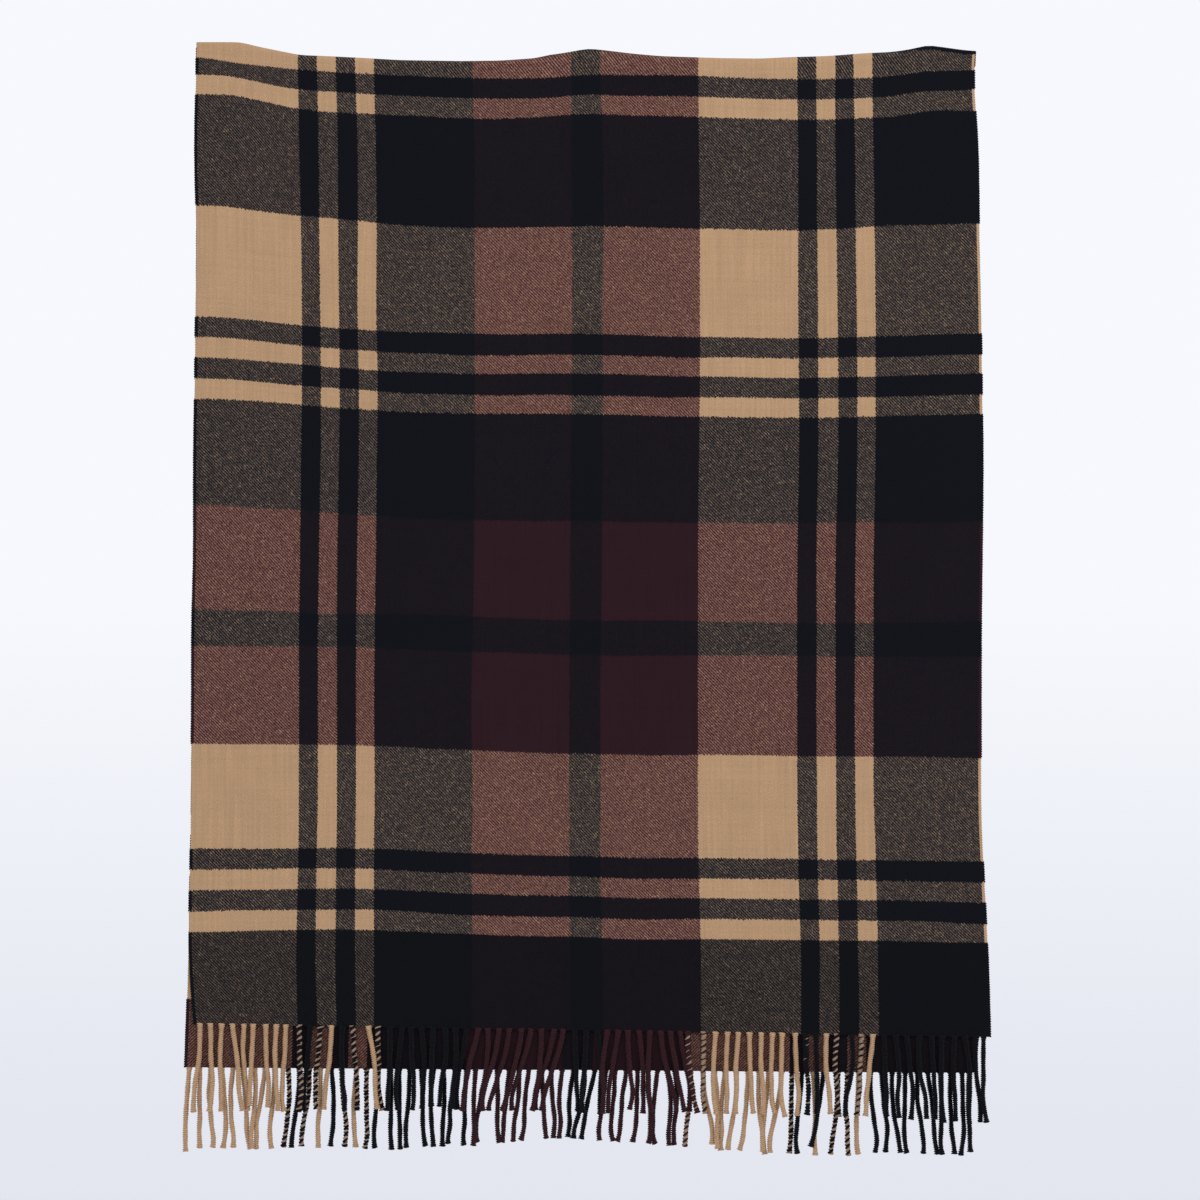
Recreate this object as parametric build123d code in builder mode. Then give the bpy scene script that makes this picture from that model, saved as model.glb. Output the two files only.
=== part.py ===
from build123d import *
import os

# Folded throw: one rectangular plaid cloth with a twisted fringe on both short
# ends, folded once across its width and hung by the fold.
# Millimetres. +Z is up, the front layer faces -Y, +X is to the viewer's right.
# The origin is on top of the fold at mid width, where the centre clip grips.

# ---- driving dimensions ----
cloth_t = 1.9            # thickness of one brushed twill layer
layer_gap = 0.6          # free space between the two hanging layers
fold_axis_z = -6.0       # mean height of the fold line, the hinge of the fold
panel_top_z = -18.0      # below this the cloth hangs straight, above it turns over
tassel_d = 4.2           # diameter of one twisted fringe tassel
tassel_y = 2.5           # distance of each fringe row from the middle plane
root_gap = 0.3           # clearance between hem and tassel root
front_tassel_len = 76.0
back_tassel_len = 73.0
tip_r = 1.0              # rounding of a tassel's cut end

# fold line: its height along the width, pulled up at the three grips and
# sagging between them
fold_line = [
    (-347.4, 5.6), (-312.0, 5.4), (-281.0, 0.5), (-255.0, -5.8), (-187.0, -10.3),
    (-104.0, -11.5), (-45.0, -8.5), (-22.0, -3.6), (0.0, 0.0), (14.0, -1.1),
    (40.0, -4.6), (98.0, -8.5), (146.0, -9.8), (188.0, -8.5), (222.0, -6.2),
    (257.0, -4.4), (287.0, -1.0), (304.0, 1.6), (335.0, 1.0), (347.4, -2.2),
]
left_end_x = -347.4
right_end_x = 347.4

# side edges of each layer, from panel_top_z down to the hem
front_left = [(-347.4, panel_top_z), (-348.3, -223.0), (-350.1, -402.0), (-351.0, -580.0),
              (-353.6, -714.0), (-353.2, -800.0), (-348.4, -869.2)]
front_right = [(343.9, panel_top_z), (349.2, -90.0), (352.8, -223.0), (353.7, -402.0),
               (352.0, -580.0), (352.8, -714.0), (358.2, -812.0), (359.9, -880.8)]
back_left = [(-347.0, panel_top_z), (-347.6, -223.0), (-349.2, -402.0), (-350.6, -580.0),
             (-353.0, -714.0), (-355.6, -830.0), (-358.1, -908.0)]
back_right = [(343.4, panel_top_z), (347.0, -90.0), (350.0, -223.0), (350.6, -402.0),
              (348.4, -580.0), (346.6, -714.0), (346.0, -812.0), (345.7, -912.9)]

# fringe rows: where each tassel leaves the hem along X, from the left.
# Front: measured in the photo, all but five dark tassels on a dark hem (near
# -246, -218, 195, 204 and 265 mm), which are placed between their neighbours.
# Back: not visible, the front row shifted left by 10 to 13 mm.
front_roots = [
    -344.8, -335.7, -325.4, -315.9, -305.5, -297.3, -286.1, -276.6, -268, -256.3, -246.2, -237.2,
    -227.5, -217.6, -208.6, -194.5, -186, -175.3, -164.2, -156.5, -147.3, -136.7, -125.7, -116.9,
    -106.4, -96.4, -88.2, -78, -69, -58.2, -49.3, -40.6, -28.7, -20.7, -10.5, -0.3,
    9.4, 18.7, 28.5, 36.8, 46.8, 56.7, 66.2, 74.9, 83.3, 90.3, 104.5, 115.2,
    125.7, 135.4, 145.3, 155.8, 165.9, 174.6, 186, 195.1, 204.4, 213.9, 223.3, 236.4,
    245.2, 255.3, 265.4, 275.3, 285.2, 296.8, 307.7, 316.9, 328.1, 337.4, 347.7, 354.2,
]
back_roots = [
    -354.6, -345.5, -335.3, -325.8, -315.5, -307.3, -296.1, -286.7, -278.2, -266.4, -256.4, -247.4,
    -237.8, -228, -219, -205, -196.4, -185.8, -174.8, -167.1, -157.9, -147.4, -136.4, -127.7,
    -117.2, -107.3, -99.1, -88.9, -79.9, -69.1, -60.3, -51.6, -39.8, -31.8, -21.7, -11.5,
    -1.9, 7.4, 17.1, 25.4, 35.4, 45.3, 54.7, 63.4, 71.8, 78.7, 92.9, 103.6,
    114, 123.6, 133.5, 144, 154, 162.6, 174, 183.1, 192.3, 201.8, 211.1, 224.2,
    233, 243, 253.1, 262.9, 272.8, 284.3, 295.2, 304.4, 315.5, 324.8, 335.1, 341.5,
]

# yarn of each tassel, in the same order: c camel, k black, b burgundy,
# m two colours twisted together, where two warp stripes meet.
# Three of the back row (one camel, two black) have no visible tip.
front_yarns = ("ccccccccc" "mkmckmcm" "kkkkkkkk" "bbbbbbbbb" "kkk" "bbbbbbbb" "mm"
               "cccccccc" "mkcmkmc" "kkkkkkkkkk")
back_yarns = ("ccccccccc" "mkmckmcm" "kkkkkkkkk" "bbbbbbbbb" "kkk" "bbbbbbbb" "m"
              "cccccccc" "mkckmmc" "kkkkkkkkkk")
assert len(front_roots) == len(front_yarns) and len(back_roots) == len(back_yarns)


def hem_z(x, corner_left, corner_right):
    (xa, za), (xb, zb) = corner_left, corner_right
    return za + (zb - za) * (x - xa) / (xb - xa)


def row_points(letter, roots, yarns, corner_left, corner_right, y):
    return [(x, y, hem_z(x, corner_left, corner_right) - root_gap)
            for x, yarn in zip(roots, yarns) if yarn == letter]


# ---- front layer: hangs straight down from the fold to the front hem ----
with BuildPart() as front_panel:
    with BuildSketch(Plane.XZ.offset(layer_gap / 2)):
        with BuildLine():
            Line(front_left[0], front_right[0])
            Spline(*front_right)
            Line(front_right[-1], front_left[-1])
            Spline(*front_left[::-1])
        make_face()
    extrude(amount=cloth_t)

# ---- back layer: a little longer, its lower end drifts to the left ----
with BuildPart() as back_panel:
    with BuildSketch(Plane.XZ.offset(-layer_gap / 2)):
        with BuildLine():
            Line(back_left[0], back_right[0])
            Spline(*back_right)
            Line(back_right[-1], back_left[-1])
            Spline(*back_left[::-1])
        make_face()
    extrude(amount=-cloth_t)

# ---- fold: both layers and the rounded turn that joins them over the top ----
stack = 2 * cloth_t + layer_gap
with BuildPart() as fold_strip:
    with BuildSketch(Plane.XZ.offset(-stack / 2)):
        with BuildLine():
            Line((left_end_x, panel_top_z), (343.9, panel_top_z))
            Line((343.9, panel_top_z), fold_line[-1])
            Spline(*fold_line[::-1])
            Line(fold_line[0], (left_end_x, panel_top_z))
        make_face()
    extrude(amount=stack)
    crown = [e for e in fold_strip.edges() if e.length > 600 and e.bounding_box().max.Z > 3]
    fillet(crown, radius=stack / 2 - 0.15)
    # the free space between the layers, closed above by the turn of the cloth
    with BuildSketch(Plane.XZ.offset(-layer_gap / 2)):
        with BuildLine():
            Line((left_end_x - 1, panel_top_z - 1), (345.0, panel_top_z - 1))
            Line((345.0, panel_top_z - 1), (right_end_x + 1, fold_line[-1][1] - cloth_t))
            Line((right_end_x + 1, fold_line[-1][1] - cloth_t), (right_end_x, fold_line[-1][1] - cloth_t))
            Spline(*[(x, z - cloth_t) for x, z in fold_line[::-1]])
            Line((left_end_x, fold_line[0][1] - cloth_t), (left_end_x - 1, fold_line[0][1] - cloth_t))
            Line((left_end_x - 1, fold_line[0][1] - cloth_t), (left_end_x - 1, panel_top_z - 1))
        make_face()
    extrude(amount=layer_gap, mode=Mode.SUBTRACT)


# ---- fringe tassels: one group of separate rods for each yarn and each end ----
front_hem = (front_left[-1], front_right[-1])
back_hem = (back_left[-1], back_right[-1])

with BuildPart() as front_tassels_camel:
    with Locations(*row_points("c", front_roots, front_yarns, *front_hem, -tassel_y)):
        Cylinder(tassel_d / 2, front_tassel_len, align=(Align.CENTER, Align.CENTER, Align.MAX))
    fillet(front_tassels_camel.edges().filter_by(lambda e: e.center().Z < -930), radius=tip_r)

with BuildPart() as front_tassels_black:
    with Locations(*row_points("k", front_roots, front_yarns, *front_hem, -tassel_y)):
        Cylinder(tassel_d / 2, front_tassel_len, align=(Align.CENTER, Align.CENTER, Align.MAX))
    fillet(front_tassels_black.edges().filter_by(lambda e: e.center().Z < -930), radius=tip_r)

with BuildPart() as front_tassels_burgundy:
    with Locations(*row_points("b", front_roots, front_yarns, *front_hem, -tassel_y)):
        Cylinder(tassel_d / 2, front_tassel_len, align=(Align.CENTER, Align.CENTER, Align.MAX))
    fillet(front_tassels_burgundy.edges().filter_by(lambda e: e.center().Z < -930), radius=tip_r)

with BuildPart() as front_tassels_mixed:
    with Locations(*row_points("m", front_roots, front_yarns, *front_hem, -tassel_y)):
        Cylinder(tassel_d / 2, front_tassel_len, align=(Align.CENTER, Align.CENTER, Align.MAX))
    fillet(front_tassels_mixed.edges().filter_by(lambda e: e.center().Z < -930), radius=tip_r)

with BuildPart() as back_tassels_camel:
    with Locations(*row_points("c", back_roots, back_yarns, *back_hem, tassel_y)):
        Cylinder(tassel_d / 2, back_tassel_len, align=(Align.CENTER, Align.CENTER, Align.MAX))
    fillet(back_tassels_camel.edges().filter_by(lambda e: e.center().Z < -960), radius=tip_r)

with BuildPart() as back_tassels_black:
    with Locations(*row_points("k", back_roots, back_yarns, *back_hem, tassel_y)):
        Cylinder(tassel_d / 2, back_tassel_len, align=(Align.CENTER, Align.CENTER, Align.MAX))
    fillet(back_tassels_black.edges().filter_by(lambda e: e.center().Z < -960), radius=tip_r)

with BuildPart() as back_tassels_burgundy:
    with Locations(*row_points("b", back_roots, back_yarns, *back_hem, tassel_y)):
        Cylinder(tassel_d / 2, back_tassel_len, align=(Align.CENTER, Align.CENTER, Align.MAX))
    fillet(back_tassels_burgundy.edges().filter_by(lambda e: e.center().Z < -960), radius=tip_r)

with BuildPart() as back_tassels_mixed:
    with Locations(*row_points("m", back_roots, back_yarns, *back_hem, tassel_y)):
        Cylinder(tassel_d / 2, back_tassel_len, align=(Align.CENTER, Align.CENTER, Align.MAX))
    fillet(back_tassels_mixed.edges().filter_by(lambda e: e.center().Z < -960), radius=tip_r)


# ---- one STEP file for each node ----
os.makedirs("parts", exist_ok=True)

front_panel.part.label = "front_panel"
export_step(front_panel.part, "parts/front_panel.step")
back_panel.part.label = "back_panel"
export_step(back_panel.part, "parts/back_panel.step")
fold_strip.part.label = "fold_strip"
export_step(fold_strip.part, "parts/fold_strip.step")
front_tassels_camel.part.label = "front_tassels_camel"
export_step(front_tassels_camel.part, "parts/front_tassels_camel.step")
front_tassels_black.part.label = "front_tassels_black"
export_step(front_tassels_black.part, "parts/front_tassels_black.step")
front_tassels_burgundy.part.label = "front_tassels_burgundy"
export_step(front_tassels_burgundy.part, "parts/front_tassels_burgundy.step")
front_tassels_mixed.part.label = "front_tassels_mixed"
export_step(front_tassels_mixed.part, "parts/front_tassels_mixed.step")
back_tassels_camel.part.label = "back_tassels_camel"
export_step(back_tassels_camel.part, "parts/back_tassels_camel.step")
back_tassels_black.part.label = "back_tassels_black"
export_step(back_tassels_black.part, "parts/back_tassels_black.step")
back_tassels_burgundy.part.label = "back_tassels_burgundy"
export_step(back_tassels_burgundy.part, "parts/back_tassels_burgundy.step")
back_tassels_mixed.part.label = "back_tassels_mixed"
export_step(back_tassels_mixed.part, "parts/back_tassels_mixed.step")
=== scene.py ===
import math

import bpy
import numpy as np
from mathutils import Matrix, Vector


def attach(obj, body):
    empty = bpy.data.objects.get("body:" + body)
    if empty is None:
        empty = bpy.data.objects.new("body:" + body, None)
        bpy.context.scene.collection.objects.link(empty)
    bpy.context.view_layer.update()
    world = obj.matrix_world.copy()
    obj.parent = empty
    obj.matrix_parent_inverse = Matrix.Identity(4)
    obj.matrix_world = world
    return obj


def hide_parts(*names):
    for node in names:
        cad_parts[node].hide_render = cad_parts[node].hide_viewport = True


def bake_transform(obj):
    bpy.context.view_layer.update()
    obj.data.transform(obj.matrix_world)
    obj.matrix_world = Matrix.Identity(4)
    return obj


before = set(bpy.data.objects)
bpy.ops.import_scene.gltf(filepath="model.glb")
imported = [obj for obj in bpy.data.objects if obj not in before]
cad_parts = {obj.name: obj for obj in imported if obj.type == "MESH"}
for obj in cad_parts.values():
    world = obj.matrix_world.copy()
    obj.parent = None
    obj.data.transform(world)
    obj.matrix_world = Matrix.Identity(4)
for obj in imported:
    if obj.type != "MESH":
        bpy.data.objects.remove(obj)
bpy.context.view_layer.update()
rng = np.random.default_rng(7)

# ---------------------------------------------------------------- measures
# Distances were read in units of PX metres, from x 586.5, y 49.5 (the origin).
PX = 0.000892


def mx(px):
    return (np.asarray(px, float) - 586.5) * PX


def mz(py):
    return -(np.asarray(py, float) - 49.5) * PX


def smoothstep(a, b, v):
    t = np.clip((np.asarray(v, float) - a) / (b - a), 0, 1)
    return t * t * (3 - 2 * t)


def blur(values, sigma):
    n = int(4 * sigma) + 1
    k = np.exp(-0.5 * (np.arange(-n, n + 1) / sigma) ** 2)
    k /= k.sum()
    # odd reflection keeps the slope at the ends
    left = 2 * values[0] - values[n:0:-1]
    right = 2 * values[-1] - values[-2:-n - 2:-1]
    return np.convolve(np.concatenate([left, values, right]), k, "valid")


# fold line
FX = [197, 240, 260, 290, 300, 327, 366, 400, 460, 500, 536, 550, 560, 588, 601,
      620, 632, 660, 690, 720, 760, 790, 827, 866, 890, 908, 928, 964, 976]
FY = [43, 43, 48, 54, 56, 57, 59, 61, 62, 61.5, 59, 55.5, 54.5, 49.5, 50.7,
      53, 54.5, 57, 58, 59, 59.5, 58, 57, 54, 53, 50.7, 46, 51, 52]
PFX = [205, 260, 327, 400, 460, 500, 550, 588, 620, 660, 690, 720, 790, 827, 866, 890, 930, 960, 975]
PFP = [6, 2.4, 5.3, 5.7, 4.3, 3, 2.2, -0.8, 1, 2.5, 3, 2.5, 2.2, 2, 1.5, -0.5, -2.5, -4, -3.5]

# warp stripe boundaries across the front layer, at 16 heights
U_N = np.array([0, 106, 124.5, 143, 162.5, 181, 279, 375.5, 407, 504, 603, 622, 641, 660.5, 679, 787])
WARP = {
    40: [197, 298, 317, 336, 355, 374, 472, 571, 600, 698, 797, 816, 835, 853, 872, 976],
    70: [197, 298, 317, 336, 355, 374, 472, 571, 600, 698, 797, 816, 835, 853, 872, 972],
    150: [195, 299, 319, 338, 358, 376, 475, 572, 603, 699, 798, 817, 835, 855, 873, 978],
    230: [197, 301, 319, 338, 358, 377, 475, 572, 604, 700, 798, 817, 836, 855, 874, 979],
    300: [196, 302, 320, 339, 357, 376, 475, 572, 602, 700, 798, 818, 837, 856, 875, 981],
    390: [195, 302, 321, 340, 359, 378, 475, 572, 603, 700, 799, 818, 838, 857, 875, 982],
    450: [194, 301, 321, 339, 359, 377, 475, 571, 603, 699, 799, 818, 838, 857, 875, 983],
    560: [194, 300, 319, 337, 357, 376, 474, 570, 602, 698, 797, 816, 835, 855, 873, 982],
    625: [192, 299, 318, 337, 356, 375, 473, 570, 601, 698, 797, 817, 835, 855, 873, 981],
    700: [192, 299, 318, 337, 356, 374, 471, 569, 600, 698, 797, 816, 835, 854, 873, 981],
    800: [191, 299, 318, 337, 356, 375, 473, 569, 601, 698, 797, 817, 836, 855, 873, 981],
    840: [191, 299, 317, 337, 355, 374, 472, 570, 600, 698, 798, 817, 836, 855, 875, 982],
    878: [190, 298, 316, 336, 355, 374, 471, 568, 600, 699, 798, 818, 837, 857, 876, 984],
    920: [189, 297, 316, 336, 355, 374, 473, 570, 602, 700, 800, 819, 838, 857, 877, 986],
    960: [190, 296, 315, 335, 355, 374, 472, 570, 602, 701, 801, 820, 839, 858, 878, 988],
    1000: [192, 297, 317, 336, 356, 374, 472, 570, 603, 701, 801, 819, 839, 859, 878, 989],
    1040: [197, 298, 318, 337, 356, 374, 472, 570, 603, 701, 801, 819, 839, 859, 879, 990],
}

# weft band boundaries down the front layer, at 24 places across
BC = [205, 230, 260, 290, 327, 366, 400, 440, 460, 500, 550, 588, 620, 660, 690, 720, 760, 790, 827, 866, 890, 930, 960, 975]
P_N = np.array([20, 41, 61, 173, 281.5, 302.5, 321.5, 342.5, 361, 467.5, 566.5, 600.7, 700, 803, 824, 843, 864, 883.5, 976])
WEFT = [
    [57.2, 62.5, 65.6, 69, 71.7, 74, 75.3, 77.5, 77.7, 78.7, 78.1, 74.1, 75.2, 75.1, 75.1, 77.3, 78.6, 79.2, 79.5, 78.2, 76.5, 70.4, 71, 69.5],
    [74.8, 76, 82.7, 88.9, 91.8, 94, 96.2, 98, 98.4, 99.3, 98.6, 94.3, 96.3, 96.3, 96.8, 97.8, 99.2, 99.8, 99.7, 98.5, 97, 90.7, 92, 88],
    [94.3, 94.8, 100.4, 107.7, 112.4, 113.8, 115.5, 117.7, 118.6, 119.3, 116.5, 113, 115.2, 115.9, 116.8, 118, 119.1, 119.7, 120.1, 118.3, 118.1, 110.1, 110.9, 110.9],
    [205.1, 206.9, 211.2, 214.8, 217.8, 221.7, 225.8, 228, 228.6, 228.5, 227.2, 225.7, 226.5, 228.2, 228.7, 229.2, 230.2, 230.7, 230.3, 227.8, 225.8, 225.1, 224.2, 222.6],
    [316.3, 317.7, 320.7, 324.2, 327.5, 329.9, 332.2, 332.8, 333.7, 334.7, 333.6, 333.5, 334.1, 336.3, 336.9, 337.2, 338.1, 338.5, 338.3, 337.2, 336.3, 334.8, 333.6, 333.1],
    [336.9, 337.9, 341.2, 344.6, 348, 350.5, 353.5, 354.1, 356, 356.1, 354.6, 354.5, 355.7, 356.8, 358.2, 357.3, 358.1, 358.6, 358, 357.4, 357.8, 355.9, 354.4, 354.2],
    [357.3, 358.5, 361, 363.5, 366.9, 369.9, 371.9, 373.4, 374, 374.3, 373.2, 373.5, 373.6, 375.8, 376.7, 376.8, 377.8, 378.3, 377.7, 377.1, 376.1, 374.6, 373.5, 373],
    [378.5, 379.1, 381.8, 385, 387.8, 389.9, 393.6, 394.6, 395.2, 396, 394.7, 395.6, 395.9, 397.8, 397.4, 397.5, 397.9, 398.4, 398.6, 397.3, 397.2, 396.1, 394.5, 394.6],
    [398.6, 399.2, 401.3, 403.7, 407, 409.6, 411.9, 413.1, 413.8, 413.7, 413.5, 413.9, 414.2, 416.4, 416.3, 416.9, 417.5, 417.7, 417.8, 417, 416.1, 414.8, 414.7, 413.6],
    [504.7, 505.6, 508.7, 509.1, 512.8, 515.1, 517.7, 519.9, 520.5, 520.5, 521.5, 520.3, 522.4, 522.3, 523.2, 522.7, 522.8, 524, 522.2, 522.2, 523, 523, 522, 521],
    [609.3, 610.1, 610.6, 611.4, 614.2, 613.5, 614, 615, 616, 618, 619.6, 620.5, 620.6, 620.2, 620.8, 622.1, 622.2, 623.3, 623.3, 622.6, 623, 622, 622, 621.1],
    [645.7, 645.9, 646.5, 646.6, 646.8, 646.5, 649.1, 651, 652, 652.2, 654.5, 655, 655.9, 655.7, 655.2, 655.5, 655, 655.5, 656.5, 656.7, 656.5, 657, 657, 657.1],
    [743.8, 744.2, 744.2, 744.4, 744.7, 745.6, 746.7, 749.1, 749.3, 751.2, 753.6, 754.1, 754.6, 755.7, 754.9, 754.7, 755.1, 756, 756.3, 756.4, 756.3, 756.9, 758, 758.6],
    [848.6, 848.6, 848.8, 848.4, 847.7, 848.5, 848.9, 851.6, 851.9, 854, 855.6, 856.1, 857.8, 857.7, 857.6, 858, 858.4, 858.8, 859.4, 859.7, 860.1, 860.5, 861.5, 861.5],
    [870, 870, 869.7, 868.7, 868.8, 869.2, 870.6, 873.1, 872.9, 874.8, 876.9, 877.5, 879.3, 879.3, 879.5, 878.6, 879.4, 879.3, 880, 880.2, 881.7, 882.1, 882.4, 883.2],
    [890.3, 890.2, 889.9, 889.3, 888.4, 888.9, 889.8, 891.6, 892.8, 894.4, 895.7, 896.4, 898, 898.3, 897.8, 898.3, 898.9, 899.2, 899.5, 900, 899.9, 901.1, 902.1, 903],
    [912.2, 910.7, 910.9, 910.3, 910.2, 909.7, 910.9, 914.1, 915, 916.4, 917.3, 918.1, 919.8, 919.9, 919.5, 919, 919.8, 919.8, 920.2, 920.8, 921.3, 921.5, 923.9, 925.1],
    [931.9, 931.6, 930.3, 929.8, 929.1, 929.7, 930.5, 932.6, 933, 935, 936.3, 937, 939.2, 939.4, 938.9, 938.7, 939.5, 939.6, 939.8, 940.5, 940.4, 941.7, 942.7, 942.7],
]
PERIOD = 822.5
WEFT_BANDS = [(0, "k"), (1, "c"), (20.3, "k"), (41, "c"), (61, "k"), (173, "c"), (281.5, "k"), (302.5, "c"),
              (321.5, "k"), (342.5, "c"), (361, "k"), (467.5, "b"), (566.5, "k"), (600.7, "b"), (700, "c"), (803, "k")]
WARP_BANDS = list(zip(U_N[:-1], "ckckckbkbckckck"))

# edges of the back layer (x, z) in mm, as in part.py
BACK_L = [(-347, -18), (-347.6, -223), (-349.2, -402), (-350.6, -580), (-353, -714), (-355.6, -830), (-358.1, -908)]
BACK_R = [(343.4, -18), (347, -90), (350, -223), (350.6, -402), (348.4, -580), (346.6, -714), (346, -812), (345.7, -912.9)]

XD = np.arange(176.0, 1004.0, 2.0)
YD = np.arange(36.0, 1046.0, 2.0)
fold_y = blur(np.interp(XD, FX, FY), 2.0)
fold_p = blur(np.interp(XD, PFX, PFP), 6.0)
weft_y = np.array([blur(np.interp(XD, BC, row), 5.0) for row in WEFT] + [1024 + (XD - 195) * 13 / 795.0])
warp_x = np.array([blur(np.interp(YD, list(WARP), [r[k] for r in WARP.values()]), 10.0) for k in range(16)])
back_hem_y = 1067.5 + (XD - 185) * 5.5 / 789.0


def at_x(table, x):
    return np.interp(x, XD, table)


def front_x(u, y):
    k = np.clip(np.searchsorted(U_N, u, "right") - 1, 0, 14)
    f = (u - U_N[k]) / (U_N[k + 1] - U_N[k])
    yi = np.clip((y - YD[0]) / 2.0, 0, len(YD) - 1.001)
    i = yi.astype(int)
    g = yi - i
    lo = warp_x[k, i] * (1 - g) + warp_x[k, i + 1] * g
    hi = warp_x[k + 1, i] * (1 - g) + warp_x[k + 1, i + 1] * g
    return lo + (hi - lo) * f


def back_x(u, y, y_fold):
    z = -(y - 49.5) * 0.892
    left = np.interp(-z, [-b for _, b in BACK_L], [a for a, _ in BACK_L]) / 0.892 + 586.5
    right = np.interp(-z, [-b for _, b in BACK_R], [a for a, _ in BACK_R]) / 0.892 + 586.5
    low = left + (right - left) * u / 787.0
    top = front_x(u, y_fold)
    t = smoothstep(0, 60, y - y_fold)
    return top + (low - top) * t


def weave_y(p, x):
    """Height in px of pattern coordinate p on the front layer, below the first band."""
    k = np.clip(np.searchsorted(P_N, p, "right") - 1, 0, len(P_N) - 2)
    f = np.clip((p - P_N[k]) / (P_N[k + 1] - P_N[k]), 0, 1)
    xi = np.clip((x - XD[0]) / 2.0, 0, len(XD) - 1.001)
    i = xi.astype(int)
    g = xi - i
    a = weft_y[k, i] * (1 - g) + weft_y[k, i + 1] * g
    b = weft_y[k + 1, i] * (1 - g) + weft_y[k + 1, i + 1] * g
    return a + (b - a) * f


def swell(x, z):
    """How far the pair of layers leaves the plane y = 0, in metres."""
    d = -np.asarray(z, float)
    x = np.asarray(x, float)
    top = smoothstep(0.0, 0.16, d)
    low = 1 - 0.72 * smoothstep(0.62, 0.90, d)
    a = 0.0036 * np.sin(2 * math.pi * x / 0.33 + 0.7 + 0.5 * d)
    b = 0.0019 * np.sin(2 * math.pi * x / 0.185 + 2.3 - 0.9 * d)
    c = 0.0008 * np.sin(2 * math.pi * x / 0.092 + 1.1 + 1.8 * d)
    # soft drags that leave the three grips and fan out below them
    drag = 0
    for gx in (-0.325, -0.0075, 0.320):
        q = (x - gx) / (0.022 + 0.30 * d)
        drag = drag + 0.0016 * np.exp(-q * q) * smoothstep(0.0, 0.05, d) * np.exp(-d / 0.16)
    return (a + b + c) * top * low - drag


def grip(x):
    """1 where a hand or clip closes the fold, 0 between."""
    g = 0
    for gx in (222.0, 578.0, 945.0):
        g = np.maximum(g, 1 - smoothstep(16.0, 60.0, np.abs(x - gx)))
    return g


def band(p):
    q = np.mod(p, PERIOD)
    out = np.zeros(np.shape(q), int)
    for start, colour in WEFT_BANDS:
        out = np.where(q >= start, "kcb".index(colour), out)
    return out


def surface(u, p_nom, side):
    """Points of the cloth's middle surface. side +1 is the front layer, -1 the back.
    Returns x, y, z in metres, pattern p and the distance s from the fold in metres."""
    x = 192 + u
    for _ in range(4):
        pf = at_x(fold_p, x)
        yf = at_x(fold_y, x)
        p = p_nom + pf * np.exp(-(p_nom / 9.0) ** 2)
        s = np.abs(p - pf)
        r = (1.25 + 1.95 * (1 - grip(x))) / 0.892
        arc = r * math.pi / 2
        theta = np.minimum(s / r, math.pi / 2)
        turn = np.where(s < arc, r * (1 - np.cos(theta)), r + s - arc)
        if side > 0:
            span = np.maximum(P_N[0] - pf, 6.0)
            reach = r + span - arc
            y1 = at_x(weft_y[0], x)
            y = np.where(p < P_N[0], yf + turn * (y1 - yf) / reach, weave_y(p, x))
            x = front_x(u, y)
        else:
            hem = at_x(back_hem_y, x)
            reach = r + (1013 + pf) - arc
            y = yf + turn * (hem - yf) / reach
            x = back_x(u, y, yf)
    # dark weft turns stick out a little further than camel ones at the sides
    dark = (band(p) != 1) * 1.0
    x = x - dark * 0.9 * np.exp(-u / 2.5) + dark * 0.9 * np.exp(-(787 - u) / 2.5)
    h0, rr = 0.00125, r * PX
    depth = np.maximum(turn * PX - rr, 0)
    h = h0 + (rr - h0) * np.exp(-(depth / 0.014) ** 2)
    X, Z = mx(x), mz(y)
    Y = swell(X, Z) - side * h * np.sin(theta)
    return X, Y, Z, p, side * s * PX


def rows(marks, end):
    pts = [0, .3, .6, .95, 1.35, 1.8, 2.3, 2.9, 3.6, 4.5, 5.6, 7, 9, 12, 15.5]
    for m in marks:
        if m > 17 and m < end - 2:
            pts += [m - 1.0, m + 1.0]
    pts = sorted(set(pts + [end - 1.2, end]))
    out = [pts[0]]
    for q in pts[1:]:
        n = max(1, math.ceil((q - out[-1]) / 7.8))
        a = out[-1]
        out += [a + (q - a) * k / n for k in range(1, n + 1)]
    return np.array(out)


front_marks = list(P_N[:-1])
back_marks = sorted({(-(b - PERIOD * n)) for b, _ in WEFT_BANDS for n in (1, 2) if 0 < -(b - PERIOD * n) < 1013})
pf_rows = rows(front_marks, 976)
pb_rows = -rows(back_marks, 1013)
inner = np.linspace(6.0, 781.0, 101)
U_C = np.concatenate([[0, 1.3, 3.2], inner, [783.8, 785.7, 787]])


def mesh_object(name, verts, faces, uvs=None, smooth=True, mats=(), mat_index=None, uv_name="cloth"):
    me = bpy.data.meshes.new(name)
    faces = np.asarray(faces, np.int32)
    me.vertices.add(len(verts))
    me.vertices.foreach_set("co", np.asarray(verts, np.float32).ravel())
    me.loops.add(faces.size)
    me.loops.foreach_set("vertex_index", faces.ravel())
    me.polygons.add(len(faces))
    me.polygons.foreach_set("loop_start", np.arange(0, faces.size, faces.shape[1], dtype=np.int32))
    if smooth:
        me.polygons.foreach_set("use_smooth", np.ones(len(faces), bool))
    for m in mats:
        me.materials.append(m)
    if mat_index is not None:
        me.polygons.foreach_set("material_index", np.asarray(mat_index, np.int32))
    me.update(calc_edges=True)
    if uvs is not None:
        layer = me.uv_layers.new(name=uv_name)
        layer.data.foreach_set("uv", np.asarray(uvs, np.float32)[faces.ravel()].ravel())
    me.validate()
    ob = bpy.data.objects.new(name, me)
    bpy.context.scene.collection.objects.link(ob)
    return ob


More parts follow.
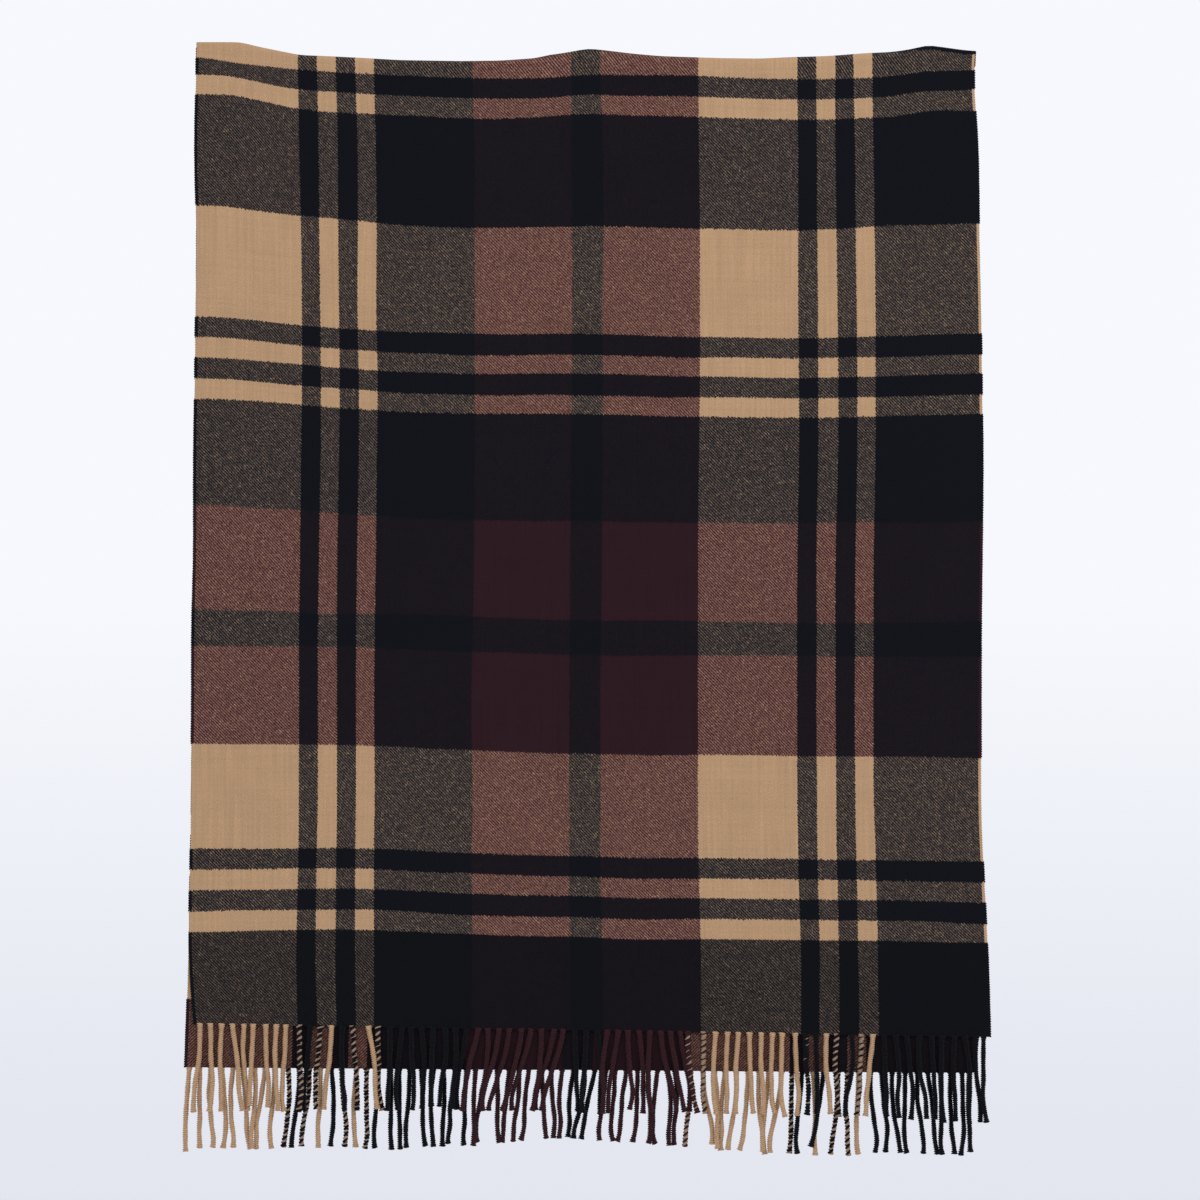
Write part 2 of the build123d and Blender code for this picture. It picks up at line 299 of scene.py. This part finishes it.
def set_blend(ob):
    """Bakes the object's placement into its mesh points."""
    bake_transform(ob)


# ---------------------------------------------------------------- materials
def srgb(r, g, b):
    return tuple(((c / 255 + 0.055) / 1.055) ** 2.4 if c > 10.3 else c / 255 / 12.92 for c in (r, g, b)) + (1.0,)


# linear colours of the yarns, without the pale sheen that lies over all of them
YARN = {"c": (0.470, 0.291, 0.158, 1), "k": (0.0004, 0.0005, 0.0012, 1), "b": (0.0212, 0.0045, 0.0066, 1)}


class Graph:
    def __init__(self, name):
        self.m = bpy.data.materials.new(name)
        self.m.use_nodes = True
        self.t = self.m.node_tree
        self.bsdf = self.t.nodes["Principled BSDF"]

    def new(self, kind, **props):
        n = self.t.nodes.new(kind)
        for k, v in props.items():
            setattr(n, k, v)
        return n

    def put(self, socket, value):
        if hasattr(value, "links") or isinstance(value, bpy.types.NodeSocket):
            self.t.links.new(value, socket)
        else:
            socket.default_value = value

    def math(self, op, a, b=None, c=None):
        n = self.new("ShaderNodeMath", operation=op)
        for i, v in enumerate((a, b, c)):
            if v is not None:
                self.put(n.inputs[i], v)
        return n.outputs[0]

    def noise(self, vector, scale, detail=2.0):
        n = self.new("ShaderNodeTexNoise")
        self.put(n.inputs["Vector"], vector)
        n.inputs["Scale"].default_value = scale
        n.inputs["Detail"].default_value = detail
        return n

    def xyz(self, x, y, z=0.0):
        n = self.new("ShaderNodeCombineXYZ")
        for i, v in enumerate((x, y, z)):
            self.put(n.inputs[i], v)
        return n.outputs[0]

    def bands(self, fac, spans, total):
        """Colour of each band, switched at its exact start: a colour ramp has only 256 steps,
        which would put these edges up to 1.5 mm out."""
        colour = self.new("ShaderNodeCombineXYZ")
        for i in range(3):
            colour.inputs[i].default_value = YARN[spans[0][1]][i]
        colour = colour.outputs[0]
        for (_, before), (start, after) in zip(spans, spans[1:]):
            n = self.new("ShaderNodeVectorMath", operation="MULTIPLY_ADD")
            self.put(n.inputs[0], self.math("GREATER_THAN", fac, start / total))
            n.inputs[1].default_value = [YARN[after][i] - YARN[before][i] for i in range(3)]
            self.put(n.inputs[2], colour)
            colour = n.outputs[0]
        return colour


def plaid(name, weft_only=False):
    g = Graph(name)
    uv = g.new("ShaderNodeUVMap", uv_map="cloth").outputs[0]
    sep = g.new("ShaderNodeSeparateXYZ")
    g.put(sep.inputs[0], uv)
    U, P = sep.outputs[0], sep.outputs[1]
    # ragged band edges: yarns wander by about half a millimetre
    wander = g.noise(uv, 760, 3.0)
    wsep = g.new("ShaderNodeSeparateColor")
    g.put(wsep.inputs[0], wander.outputs["Color"])
    du = g.math("MULTIPLY", g.math("SUBTRACT", wsep.outputs[0], 0.5), 0.0036)
    dp = g.math("MULTIPLY", g.math("SUBTRACT", wsep.outputs[1], 0.5), 0.0024)
    # brushed ends stand across the weft bands' edges like teeth
    teeth = g.noise(g.xyz(g.math("MULTIPLY", U, 950.0), g.math("MULTIPLY", P, 160.0)), 1.0, 2.0).outputs["Fac"]
    dp = g.math("ADD", dp, g.math("MULTIPLY", g.math("SUBTRACT", teeth, 0.5), 0.0044))
    ub = g.math("DIVIDE", g.math("ADD", U, du), 787 * PX)
    pb = g.math("FLOORED_MODULO", g.math("DIVIDE", g.math("ADD", P, dp), PERIOD * PX), 1.0)
    warp = g.bands(ub, WARP_BANDS, 787.0)
    weft = g.bands(pb, WEFT_BANDS, PERIOD)
    # 2/2 twill on a 0.7 mm yarn pitch
    uj = g.math("ADD", U, g.math("MULTIPLY", du, 0.45))
    pj = g.math("ADD", P, g.math("MULTIPLY", du, -0.45))
    iu = g.math("DIVIDE", uj, 0.0007)
    ip = g.math("DIVIDE", pj, 0.0007)
    k = g.math("FLOORED_MODULO", g.math("SUBTRACT", g.math("FLOOR", iu), g.math("FLOOR", ip)), 4.0)
    step = g.math("LESS_THAN", k, 1.5)
    # brushing rounds the floats into slanting ribs: mostly rib, partly stepped yarn
    rib = g.math("SINE", g.math("MULTIPLY", g.math("SUBTRACT", iu, ip), math.pi / 2))
    rib = g.math("ADD", 0.5, g.math("MULTIPLY", rib, 0.62))
    up = g.math("ADD", g.math("MULTIPLY", rib, 0.72), g.math("MULTIPLY", step, 0.28))
    hw = g.math("ABSOLUTE", g.math("SINE", g.math("MULTIPLY", iu, math.pi)))
    hf = g.math("ABSOLUTE", g.math("SINE", g.math("MULTIPLY", ip, math.pi)))
    # height: rounded yarn that is on top
    mixh = g.math("ADD", g.math("MULTIPLY", up, hw), g.math("MULTIPLY", g.math("SUBTRACT", 1.0, up), hf))
    nap = g.noise(uv, 2300, 4.0).outputs["Fac"]
    height = g.math("ADD", g.math("MULTIPLY", mixh, 0.7), g.math("MULTIPLY", nap, 0.8))
    if weft_only:
        colour = weft
    else:
        # the nap hides and shows the yarns in patches, which gives the heather look
        patch = g.noise(uv, 170, 2.0).outputs["Fac"]
        fleck = g.noise(uv, 430, 2.0).outputs["Fac"]
        swing = g.math("ADD", 0.20, g.math("MULTIPLY", patch, 0.74))
        m = g.math("ADD", g.math("MULTIPLY", g.math("SUBTRACT", up, 0.5), swing), 0.482)
        m = g.math("ADD", m, g.math("MULTIPLY", g.math("SUBTRACT", fleck, 0.5), 0.48))
        # at the two selvedges the weft turns back and hides the warp
        body = g.math("MULTIPLY", g.math("GREATER_THAN", uj, 2.4 * PX), g.math("LESS_THAN", uj, 784.6 * PX))
        m = g.math("MULTIPLY", m, body)
        inv = g.math("SUBTRACT", 1.0, m)
        a, b = g.new("ShaderNodeSeparateColor"), g.new("ShaderNodeSeparateColor")
        g.put(a.inputs[0], warp)
        g.put(b.inputs[0], weft)
        mix = g.new("ShaderNodeCombineColor")
        for i in range(3):
            blend = g.math("MULTIPLY", g.math("POWER", a.outputs[i], m), g.math("POWER", b.outputs[i], inv))
            plain = g.math("ADD", g.math("MULTIPLY", a.outputs[i], m), g.math("MULTIPLY", b.outputs[i], inv))
            g.put(mix.inputs[i], g.math("ADD", g.math("MULTIPLY", blend, 0.955), g.math("MULTIPLY", plain, 0.045)))
        colour = mix.outputs[0]
    # painted sheen: a pale bluish tint added over every colour in place of part of the nap's sheen; it only shows on
    # the dark ones
    painted_sheen = g.new("ShaderNodeVectorMath", operation="ADD")
    g.put(painted_sheen.inputs[0], colour)
    painted_sheen.inputs[1].default_value = (0.0015, 0.0020, 0.0036)
    colour = painted_sheen.outputs[0]
    # light and shade between yarns, streaks along the warp, cloudy nap
    streak = g.noise(g.xyz(g.math("MULTIPLY", U, 420.0), g.math("MULTIPLY", P, 9.0)), 1.0, 3.0).outputs["Fac"]
    pick = g.noise(g.xyz(g.math("MULTIPLY", U, 9.0), g.math("MULTIPLY", P, 420.0)), 1.0, 2.0).outputs["Fac"]
    cloud = g.noise(uv, 26, 3.0).outputs["Fac"]
    shade = g.math("ADD", 0.80, g.math("MULTIPLY", mixh, 0.14))
    shade = g.math("ADD", shade, g.math("MULTIPLY", up, 0.10))
    shade = g.math("ADD", shade, g.math("MULTIPLY", g.math("SUBTRACT", streak, 0.5), 0.34))
    shade = g.math("ADD", shade, g.math("MULTIPLY", g.math("SUBTRACT", pick, 0.5), 0.16))
    shade = g.math("ADD", shade, g.math("MULTIPLY", g.math("SUBTRACT", cloud, 0.5), 0.16))
    shade = g.math("ADD", shade, g.math("MULTIPLY", g.math("SUBTRACT", nap, 0.5), 0.12))
    # the last band before the front hem is made darker than the rest; the last band before the back hem gets the same
    # darkening as painted shade, the shadow of the front hem and its tassels
    hem_bands_darker_painted_shade = g.math("ADD", g.math("GREATER_THAN", P, 883.5 * PX), g.math("LESS_THAN", P, -945.5 * PX))
    shade = g.math("MULTIPLY", shade, g.math("SUBTRACT", 1.0, g.math("MULTIPLY", hem_bands_darker_painted_shade, 0.27)))
    out = g.new("ShaderNodeVectorMath", operation="SCALE")
    g.put(out.inputs[0], colour)
    g.put(out.inputs["Scale"], shade)
    g.put(g.bsdf.inputs["Base Color"], out.outputs[0])
    bump = g.new("ShaderNodeBump")
    bump.inputs["Strength"].default_value = 0.55
    bump.inputs["Distance"].default_value = 0.0004
    g.put(bump.inputs["Height"], height)
    g.put(g.bsdf.inputs["Normal"], bump.outputs[0])
    rough = g.math("ADD", 0.86, g.math("MULTIPLY", nap, 0.12))
    g.put(g.bsdf.inputs["Roughness"], rough)
    g.bsdf.inputs["Specular IOR Level"].default_value = 0.12
    g.bsdf.inputs["Sheen Weight"].default_value = 0.045
    g.bsdf.inputs["Sheen Roughness"].default_value = 0.5
    g.bsdf.inputs["Sheen Tint"].default_value = (0.86, 0.90, 1.0, 1)
    return g.m


def yarn(name, colour):
    """Spun yarn. UV map strand holds (turns around, metres along)."""
    g = Graph(name)
    uv = g.new("ShaderNodeUVMap", uv_map="strand").outputs[0]
    sep = g.new("ShaderNodeSeparateXYZ")
    g.put(sep.inputs[0], uv)
    fibre = g.noise(g.xyz(g.math("ADD", g.math("MULTIPLY", sep.outputs[0], 9.0), g.math("MULTIPLY", sep.outputs[1], 900.0)),
                          g.math("MULTIPLY", sep.outputs[1], 260.0)), 1.0, 4.0).outputs["Fac"]
    slub = g.noise(g.xyz(0.0, g.math("MULTIPLY", sep.outputs[1], 60.0)), 1.0, 2.0).outputs["Fac"]
    shade = g.math("ADD", 0.95, g.math("MULTIPLY", g.math("SUBTRACT", fibre, 0.5), 0.75))
    shade = g.math("ADD", shade, g.math("MULTIPLY", g.math("SUBTRACT", slub, 0.5), 0.25))
    rgb = g.new("ShaderNodeVectorMath", operation="SCALE")
    rgb.inputs[0].default_value = colour[:3]
    g.put(rgb.inputs["Scale"], shade)
    g.put(g.bsdf.inputs["Base Color"], rgb.outputs[0])
    bump = g.new("ShaderNodeBump")
    bump.inputs["Strength"].default_value = 0.6
    bump.inputs["Distance"].default_value = 0.0003
    g.put(bump.inputs["Height"], fibre)
    g.put(g.bsdf.inputs["Normal"], bump.outputs[0])
    g.put(g.bsdf.inputs["Roughness"], g.math("ADD", 0.84, g.math("MULTIPLY", fibre, 0.14)))
    g.bsdf.inputs["Specular IOR Level"].default_value = 0.12
    g.bsdf.inputs["Sheen Weight"].default_value = 0.06
    return g.m


plaid_mat = plaid("plaid_twill")
edge_mat = plaid("plaid_selvedge", weft_only=True)
yarn_mat = {"c": yarn("yarn_camel", (0.50, 0.318, 0.182, 1)), "k": yarn("yarn_black", (0.0025, 0.0027, 0.0050, 1)),
            "b": yarn("yarn_burgundy", (0.034, 0.0092, 0.0125, 1)),
            "d": yarn("yarn_camel_marl", (0.31, 0.207, 0.137, 1))}

# ---------------------------------------------------------------- cloth
p_all = np.concatenate([pf_rows[::-1], pb_rows[1:]])   # front hem, over the fold, to the back hem
side = np.concatenate([np.ones(len(pf_rows)), -np.ones(len(pb_rows) - 1)])
R, C = len(p_all), len(U_C)
UU, PN = np.meshgrid(U_C, p_all)
front = surface(UU, PN, 1)
back = surface(UU, PN, -1)
is_front = (side > 0)[:, None]
X, Y, Z, PP, S = (np.where(is_front, a, b) for a, b in zip(front, back))
mid = np.stack([X, Y, Z], -1)
gu = np.gradient(mid, axis=1)
gv = np.gradient(mid, axis=0)
normal = np.cross(gu, gv)
normal /= np.linalg.norm(normal, axis=2, keepdims=True)
if normal[5, C // 2, 1] > 0:          # outward on the front layer is -y
    normal = -normal
half = 0.0009
outer = mid + normal * half
inner_s = mid - normal * half
verts = np.concatenate([outer.reshape(-1, 3), inner_s.reshape(-1, 3)])
n = R * C
idx = np.arange(n).reshape(R, C)
a, b, c, d = idx[:-1, :-1].ravel(), idx[:-1, 1:].ravel(), idx[1:, 1:].ravel(), idx[1:, :-1].ravel()
quads = [np.stack([a, b, c, d], 1), np.stack([d, c, b, a], 1) + n]
ring = np.concatenate([idx[0, :], idx[1:, -1], idx[-1, -2::-1], idx[-2:0:-1, 0]])
nxt = np.roll(ring, -1)
quads.append(np.stack([nxt, ring, ring + n, nxt + n], 1))
quads = np.concatenate(quads)
fn = np.cross(verts[quads[0, 1]] - verts[quads[0, 0]], verts[quads[0, 2]] - verts[quads[0, 0]])
if fn[1] > 0:
    quads = quads[:, ::-1]
uv = np.stack([UU.ravel(), PP.ravel()], 1) * PX
cloth = mesh_object("plaid_cloth", verts, quads, uvs=np.concatenate([uv, uv]), mats=[plaid_mat])
cloth.data.set_sharp_from_angle(angle=math.radians(45))
set_blend(cloth)
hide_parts("front_panel", "back_panel", "fold_strip")

# ---------------------------------------------------------------- selvedge: turns of weft along both sides
ev, ef, euv, es = [], [], [], []
for col, sign in ((0, -1), (C - 1, 1)):
    line = mid[:, col, :]
    seg = np.concatenate([[0], np.cumsum(np.linalg.norm(np.diff(line, axis=0), axis=1))])
    t = np.arange(0.0, seg[-1], 0.0022 / 6)
    pts = np.stack([np.interp(t, seg, line[:, k]) for k in range(3)], 1)
    pp = np.interp(t, seg, PP[:, col])
    ss = np.interp(t, seg, S[:, col])
    uu = U_C[col]
    phase = 2 * math.pi * t / 0.0022
    size = 0.00072 + 0.00018 * np.sin(t / 0.0071) * np.sin(t / 0.0113)
    pts[:, 0] += sign * (-0.00045 + size * np.sin(phase))
    tang = np.gradient(pts, axis=0)
    tang /= np.linalg.norm(tang, axis=1, keepdims=True)
    e1 = np.cross(tang, [1.0, 0, 0.0])
    e1 /= np.linalg.norm(e1, axis=1, keepdims=True)
    e2 = np.cross(tang, e1)
    m = 4
    ring_pts = np.stack([pts + 0.00074 * (math.cos(q) * e1 + math.sin(q) * e2)
                         for q in np.arange(m) * 2 * math.pi / m + 0.785], 1)
    base = sum(len(v) for v in ev)
    ev.append(ring_pts.reshape(-1, 3))
    euv.append(np.repeat(np.stack([np.full(len(pp), uu), pp], 1) * PX, m, axis=0))
    es.append(np.repeat(ss, m))
    i = np.arange(len(pts) - 1)[:, None] * m + np.arange(m)[None, :] + base
    j = np.arange(len(pts) - 1)[:, None] * m + (np.arange(m)[None, :] + 1) % m + base
    ef.append(np.stack([i, j, j + m, i + m], -1).reshape(-1, 4))
    last = base + (len(pts) - 1) * m
    ef.append(np.array([[base + 3, base + 2, base + 1, base], [last, last + 1, last + 2, last + 3]]))
selvedge = mesh_object("selvedge_loops", np.concatenate(ev), np.concatenate(ef), uvs=np.concatenate(euv), mats=[edge_mat])
set_blend(selvedge)

# ---------------------------------------------------------------- fringe
# where each front tassel leaves the hem, px; the back row is the same shifted left
ROOTS = [200.0, 210.2, 221.7, 232.4, 244.0, 253.2, 265.8, 276.4, 286.0, 299.2, 310.5, 320.6, 331.5, 342.5, 352.6, 368.4, 378.0,
         390.0, 402.4, 411.0, 421.4, 433.2, 445.6, 455.4, 467.2, 478.4, 487.6, 499.1, 509.2, 521.3, 531.2, 541.0, 554.3, 563.3,
         574.7, 586.2, 597.0, 607.5, 618.4, 627.7, 639.0, 650.1, 660.7, 670.5, 679.9, 687.7, 703.7, 715.7, 727.4, 738.3, 749.4,
         761.2, 772.5, 782.2, 795.0, 805.2, 815.6, 826.3, 836.8, 851.5, 861.4, 872.7, 884.0, 895.1, 906.2, 919.2, 931.4, 941.8,
         954.3, 964.8, 976.3, 983.6]
BACK_ROOTS = [x - (11 + 3.2 * (x - 200) / 784) for x in ROOTS]
FRONT_TIPS = [(194, 1112), (209, 1111), (221, 1111), (243, 1110), (247.5, 1110), (249.5, 1105), (268, 1107), (278, 1110),
              (284, 1111), (299, 1111), (304, 1110), (317.5, 1108), (324, 1109), (345, 1109), (356.7, 1110), (377.5, 1108),
              (382.5, 1110), (387.5, 1110), (398, 1109), (411.7, 1109), (422, 1108), (431.7, 1105), (440, 1106), (453, 1108),
              (457.5, 1109), (461.7, 1110), (479, 1110), (483, 1110), (488.7, 1110), (501.7, 1110), (511.7, 1110), (531.7, 1110),
              (536, 1110), (541.7, 1110), (578, 1111), (582.5, 1112), (600, 1114), (602.5, 1113), (608, 1113), (630, 1109),
              (643, 1113), (651, 1111), (676, 1111), (685, 1111), (689, 1111), (697, 1112), (704.7, 1113), (716, 1113),
              (726, 1113), (734.5, 1113), (752.7, 1113), (762, 1113), (774.5, 1113), (784.5, 1116), (797, 1115), (806, 1114),
              (816, 1113), (830, 1113), (838, 1116), (844.5, 1115), (856, 1115), (864.5, 1115), (886, 1116), (898, 1117),
              (910, 1119), (926, 1118), (935, 1119), (943.6, 1122), (955, 1121), (969, 1123), (980, 1122), (986, 1122)]
BACK_TIPS = [(185, 1152), (198, 1149), (212, 1148), (222, 1149), (233, 1148), (249, 1150), (251, 1149), (256, 1150), (271, 1149),
             (283, 1148), (291, 1148), (301, 1147), (318, 1148), (330, 1147), (344, 1147), (355, 1148), (365, 1149), (374, 1149),
             (391, 1150), (400, 1150), (406, 1148), (425, 1147), (433, 1147), (442, 1147), (448, 1144), (463, 1146), (473, 1146),
             (477, 1143), (499, 1143), (501.7, 1143), (513, 1142), (521, 1141), (546, 1139), (553, 1139), (559, 1139), (568, 1138),
             (573, 1139), (581, 1140), (599, 1141), (613, 1142), (617, 1142), (632.5, 1143), (648, 1144), (654.5, 1145),
             (669, 1146), (674, 1146), (684.7, 1147), (711.7, 1145), (717, 1149), (721, 1151), (728, 1150), (740, 1151),
             (763, 1152), (765, 1155), (770, 1153), (789.5, 1154), (797, 1154), (815, 1156), (811, 1147), (830.5, 1155),
             (848, 1156), (858.5, 1155), (875.5, 1153), (885.5, 1153), (901, 1153), (907, 1154), (923, 1154), (938, 1155),
             (942, 1155), (955, 1155), (961, 1156), (971, 1153)]
FRONT_YARNS = ("ccccccccc" "mkmckmcm" "kkkkkkkk" "bbbbbbbbb" "kkk" "bbbbbbbb" "mm" "cccccccc" "mkcmkmc" "kkkkkkkkkk")
BACK_YARNS = ("ccccccccc" "mkmckmcm" "kkkkkkkkk" "bbbbbbbbb" "kkk" "bbbbbbbb" "m" "cccccccc" "mkckmmc" "kkkkkkkkkk")
assert len(ROOTS) == len(FRONT_TIPS) == len(BACK_TIPS) == len(FRONT_YARNS) == len(BACK_YARNS) == 72

# cross-section of two plies lying together, mm
PLIES = np.array([(2.4, 0), (1.75, 1.4), (0, 1.35), (-1.75, 1.4), (-2.4, 0), (-1.75, -1.4), (0, -1.35), (1.75, -1.4)]) * 1e-3
# of the eight faces round a mixed tassel, the order in which they turn camel
FACE_RANK = np.array([0, 2, 4, 6, 7, 5, 3, 1])
# how many are camel, and the tassels whose other yarn is burgundy
FRONT_MIX = {45: 1.5, 46: 5.6, 55: 0.2, 58: 3.0, 60: 5.4}
BACK_MIX = {46: 4.0, 55: 2.0, 60: 4.0}
BURGUNDY_MIX = {("front", 45), ("front", 46), ("back", 46)}


def tassel(x0, z0, x1, z1, y0, y1, share, pitch):
    length = abs(z1 - z0)
    turns = length / pitch
    count = int(length / 0.00054)
    t = np.linspace(0, 1, count)
    ease = 0.45 * t + 0.55 * smoothstep(0, 1, t)
    bow, sway, ph = rng.uniform(-0.0026, 0.0026), rng.uniform(-0.0022, 0.0022), rng.uniform(0, 6.28)
    kink = rng.uniform(-0.0006, 0.0006)
    px = x0 + (x1 - x0) * ease + bow * np.sin(math.pi * t) + (sway * np.sin(2 * math.pi * t) + kink * np.sin(5 * math.pi * t + ph)) * t
    py = y0 + (y1 - y0) * t
    pz = z0 + (z1 - z0) * t
    path = np.stack([px, py, pz], 1)
    tang = np.gradient(path, axis=0)
    tang /= np.linalg.norm(tang, axis=1, keepdims=True)
    e1 = np.cross([0, 1.0, 0], tang)
    e1 /= np.linalg.norm(e1, axis=1, keepdims=True)
    e2 = np.cross(tang, e1)
    ang = ph + 2 * math.pi * turns * t
    ca, sa = np.cos(ang)[:, None], np.sin(ang)[:, None]
    grow = (1.04 + 0.06 * np.sin(t * 23 + ph)) * (1 + 0.22 * smoothstep(0.94, 1.0, t))
    wide = 1 + 0.30 * (1 - smoothstep(0.0, 0.07, t))
    flat = 1 - 0.45 * (1 - smoothstep(0.0, 0.05, t))
    a = PLIES[None, :, 0] * ca - PLIES[None, :, 1] * sa
    b = PLIES[None, :, 0] * sa + PLIES[None, :, 1] * ca
    a = a * (grow * wide)[:, None]
    b = b * (grow * flat)[:, None]
    v = path[:, None, :] + a[..., None] * e1[:, None, :] + b[..., None] * e2[:, None, :]
    turn = np.arange(8) / 8.0
    uvs = np.stack([np.broadcast_to(turn, (count, 8)) + rng.uniform(0, 50), np.broadcast_to((t * length)[:, None], (count, 8))], -1)
    i = np.arange(count - 1)[:, None] * 8 + np.arange(8)[None, :]
    j = np.arange(count - 1)[:, None] * 8 + (np.arange(8)[None, :] + 1) % 8
    f = np.stack([i, j, j + 8, i + 8], -1).reshape(-1, 4)
    camel = share + 1.5 * np.sin(t[:-1] * 19 + ph) * np.sin(t[:-1] * 43 + 2 * ph)
    ply = (FACE_RANK[None, :] >= np.round(camel)[:, None]).astype(int).ravel()
    # blunt end: three quads close the last ring, and the first
    last = (count - 1) * 8
    caps = [[last + 0, last + 1, last + 2, last + 7], [last + 2, last + 3, last + 6, last + 7], [last + 3, last + 4, last + 5, last + 6],
            [7, 2, 1, 0], [7, 6, 3, 2], [6, 5, 4, 3]]
    f = np.concatenate([f, np.array(caps)])
    ply = np.concatenate([ply, [0, 0, 1, 0, 0, 1]])
    return v.reshape(-1, 3), f, uvs.reshape(-1, 2), ply


def fringe(prefix, body, roots, tips, yarns, layer, hem_at):
    groups = {"c": [], "k": [], "b": [], "m": []}
    for i, (rx, (tx, ty), kind) in enumerate(zip(roots, tips, yarns)):
        x0, z0 = float(mx(rx)), float(mz(hem_at(rx))) + 0.0012
        x1, z1 = float(mx(tx)), float(mz(ty))
        w = float(swell(x0, z0))
        y0 = w - layer * 0.0017
        y1 = w - layer * (0.0030 + (0.0034 if i % 2 else 0.0))
        share = (FRONT_MIX if prefix == "front" else BACK_MIX).get(i, 2.7)
        v, f, uvs, ply = tassel(x0, z0, x1, z1, y0, y1, share, 0.0056 if kind == "m" else 0.0038)
        if kind == "m":
            second = 2 if (prefix, i) in BURGUNDY_MIX else 1
            mat = np.where(ply == 0, 0, second)
        else:
            mat = np.zeros(len(f), int)
        groups[kind].append((v, f, uvs, mat))
    names = {"c": "camel", "k": "black", "b": "burgundy", "m": "mixed"}
    made = []
    for kind, items in groups.items():
        base, vs, fs, us, ms = 0, [], [], [], []
        for v, f, uvs, mat in items:
            vs.append(v)
            fs.append(f + base)
            us.append(uvs)
            ms.append(mat)
            base += len(v)
        mats = [yarn_mat["d"], yarn_mat["k"], yarn_mat["b"]] if kind == "m" else [yarn_mat[kind]]
        ob = mesh_object(f"{prefix}_fringe_{names[kind]}", np.concatenate(vs), np.concatenate(fs), uvs=np.concatenate(us),
                         mats=mats, mat_index=np.concatenate(ms), uv_name="strand")
        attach(ob, body)
        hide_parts(f"{prefix}_tassels_{names[kind]}")
        made.append(ob)
    return made


front_fringe = fringe("front", "front_fringe", ROOTS, FRONT_TIPS, FRONT_YARNS, 1, lambda x: 1024 + (x - 195) * 13 / 795.0)
back_fringe = fringe("back", "back_fringe", BACK_ROOTS, BACK_TIPS, BACK_YARNS, -1, lambda x: 1067.5 + (x - 185) * 5.5 / 789.0)

# ---------------------------------------------------------------- stage, light, camera
q = np.linspace(0, 2 * math.pi, 97)[:-1]
disc = np.stack([6.2 * np.cos(q), 6.2 * np.sin(q), np.full(96, -2.0)], 1)
floor = mesh_object("studio_floor", np.concatenate([disc, [[0, 0, -2.0]] * 96]),
                    [[i, (i + 1) % 96, 96 + (i + 1) % 96, 96 + i] for i in range(96)], smooth=False)
fm = bpy.data.materials.new("studio_floor")
fm.use_nodes = True
fm.node_tree.nodes["Principled BSDF"].inputs["Base Color"].default_value = srgb(226, 228, 236)
fm.node_tree.nodes["Principled BSDF"].inputs["Roughness"].default_value = 0.9
floor.data.materials.append(fm)

world = bpy.data.worlds.new("studio")
bpy.context.scene.world = world
world.use_nodes = True
wt = world.node_tree
where = wt.nodes.new("ShaderNodeTexCoord")
split = wt.nodes.new("ShaderNodeSeparateXYZ")
ramp = wt.nodes.new("ShaderNodeValToRGB")
add = wt.nodes.new("ShaderNodeMath")
add.operation = "MULTIPLY_ADD"
add.inputs[1].default_value = 0.5
add.inputs[2].default_value = 0.5
wt.links.new(where.outputs["Generated"], split.inputs[0])
wt.links.new(split.outputs[2], add.inputs[0])
wt.links.new(add.outputs[0], ramp.inputs[0])
wt.links.new(ramp.outputs[0], wt.nodes["Background"].inputs["Color"])
e = ramp.color_ramp.elements
e[0].position, e[0].color = 0.40, srgb(226, 228, 238)
e[1].position, e[1].color = 0.50, srgb(246, 248, 253)
mid_stop = e.new(0.435)
mid_stop.color = srgb(228, 230, 240)
world.node_tree.nodes["Background"].inputs["Strength"].default_value = 1.0


def area_light(name, where, at, size, watts):
    data = bpy.data.lights.new(name, "AREA")
    data.shape = "SQUARE"
    data.size = size
    data.energy = watts
    ob = bpy.data.objects.new(name, data)
    ob.location = where
    bpy.context.view_layer.update()
    ob.rotation_mode = "QUATERNION"
    ob.rotation_quaternion = (Vector(at) - Vector(where)).to_track_quat("-Z", "Y")
    ob.visible_camera = False
    bpy.context.scene.collection.objects.link(ob)


area_light("key", (0.9, -1.5, 0.75), (0.1, 0, -0.35), 1.2, 12)
area_light("fill", (-2.4, -3.0, 0.3), (0, 0, -0.5), 2.0, 8)
area_light("rear", (1.2, 3.2, 1.2), (0, 0, -0.5), 2.0, 22)

cam_data = bpy.data.cameras.new("camera")
cam_data.sensor_width = 36.0
cam_data.lens = 117.7
cam = bpy.data.objects.new("camera", cam_data)
cam.location = (0.012, -3.5, -0.491)
cam.rotation_euler = (math.radians(90), 0, 0)
bpy.context.scene.collection.objects.link(cam)
bpy.context.scene.camera = cam
bpy.context.scene.view_settings.view_transform = "Standard"
# the default prefilter takes a twill this fine for noise and wipes it out in patches
bpy.context.scene.cycles.denoising_prefilter = "NONE"

bpy.context.view_layer.update()
